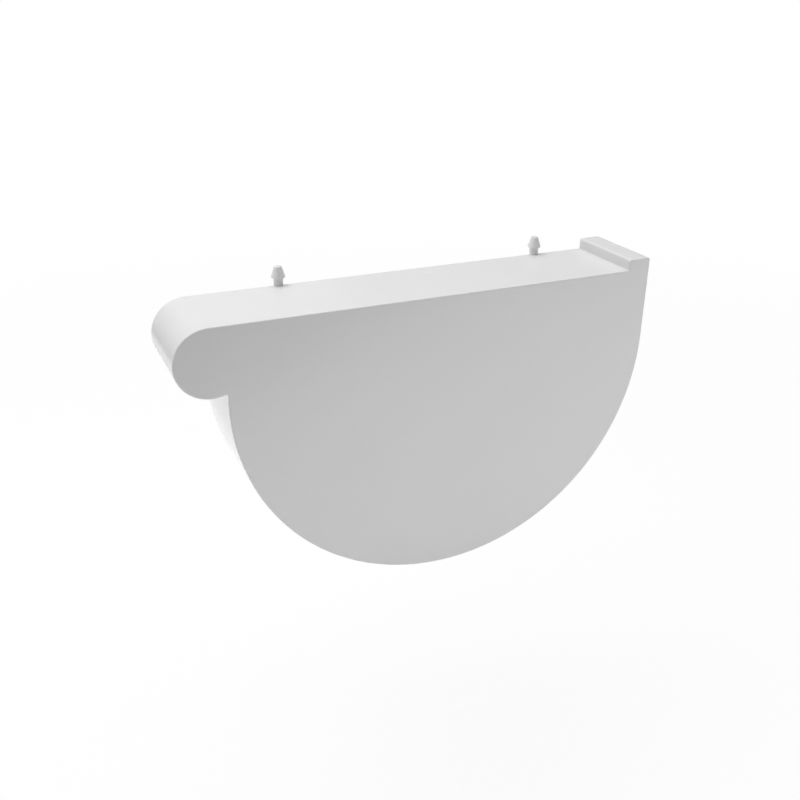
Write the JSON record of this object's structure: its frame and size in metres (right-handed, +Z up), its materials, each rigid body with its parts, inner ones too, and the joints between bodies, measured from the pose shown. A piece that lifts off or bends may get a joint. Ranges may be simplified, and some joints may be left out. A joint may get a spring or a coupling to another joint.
{
  "type": "gutter end cap",
  "caption": "Slip-on end cap for a half-round roof gutter: a flat plate with a deep skirt round its whole outline, a round bead socket, a raised lip and barbed pegs.",
  "frame": {"origin": "on the half round's axis, in the plate's inner face, where the gutter's end stops", "axes": "+X to the gutter's back edge, +Y out of the cap's mouth and along the gutter, +Z up"},
  "size_m": [0.1435, 0.0282, 0.092],
  "materials": {
    "body": "glossy"
  },
  "bodies": {
    "root": {"end_cap": "body"}
  },
  "joints": []
}
